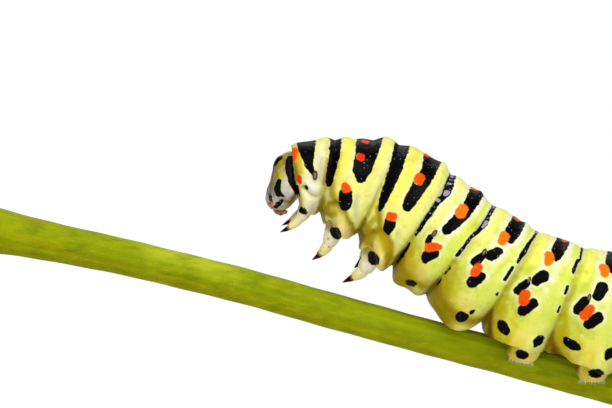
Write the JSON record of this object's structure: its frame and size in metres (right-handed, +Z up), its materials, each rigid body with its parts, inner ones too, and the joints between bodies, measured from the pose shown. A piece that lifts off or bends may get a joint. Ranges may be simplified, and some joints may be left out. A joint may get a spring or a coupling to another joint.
{
  "type": "swallowtail butterfly larva on a stem, display model",
  "caption": "Life-size banded green larva with its front half raised, gripping a sloping cut stem held over a flat base by two rods.",
  "frame": {"origin": "middle of the underside of the stand's base", "axes": "+Z up, +X towards the larva's tail and the lower end of the stem, -Y towards the larva's left side"},
  "size_m": [0.066, 0.026, 0.0288],
  "materials": {
    "larva_skin": "soft, slightly glossy skin, green-yellow with black and orange marks",
    "leg_horn": "smooth horn, pale with dark claws",
    "head_shell": "hard shell, pale green with black bars",
    "mouth_horn": "hard brown horn",
    "plant_stem": "fresh green stalk with fine ribs",
    "stand_plate": "plain pale satin",
    "stand_steel": "fine brushed"
  },
  "bodies": {
    "root": {"head": "head_shell", "antenna_left": "mouth_horn", "antenna_right": "mouth_horn", "mouthparts": "mouth_horn", "thorax_1": "larva_skin", "thorax_2": "larva_skin", "thorax_3": "larva_skin", "abdomen_1": "larva_skin", "abdomen_2": "larva_skin", "abdomen_3": "larva_skin", "abdomen_4": "larva_skin", "abdomen_5": "larva_skin", "abdomen_6": "larva_skin", "abdomen_7": "larva_skin", "abdomen_8": "larva_skin", "abdomen_9": "larva_skin", "abdomen_10": "larva_skin", "leg_1_left": "leg_horn", "leg_1_right": "leg_horn", "leg_2_left": "leg_horn", "leg_2_right": "leg_horn", "leg_3_left": "leg_horn", "leg_3_right": "leg_horn", "proleg_3_left": "larva_skin", "proleg_3_right": "larva_skin", "proleg_4_left": "larva_skin", "proleg_4_right": "larva_skin", "proleg_5_left": "larva_skin", "proleg_5_right": "larva_skin", "proleg_6_left": "larva_skin", "proleg_6_right": "larva_skin", "proleg_10_left": "larva_skin", "proleg_10_right": "larva_skin", "perch_stem": "plant_stem", "stand_base": "stand_plate", "stand_rod_front": "stand_steel", "stand_rod_rear": "stand_steel"}
  },
  "joints": []
}
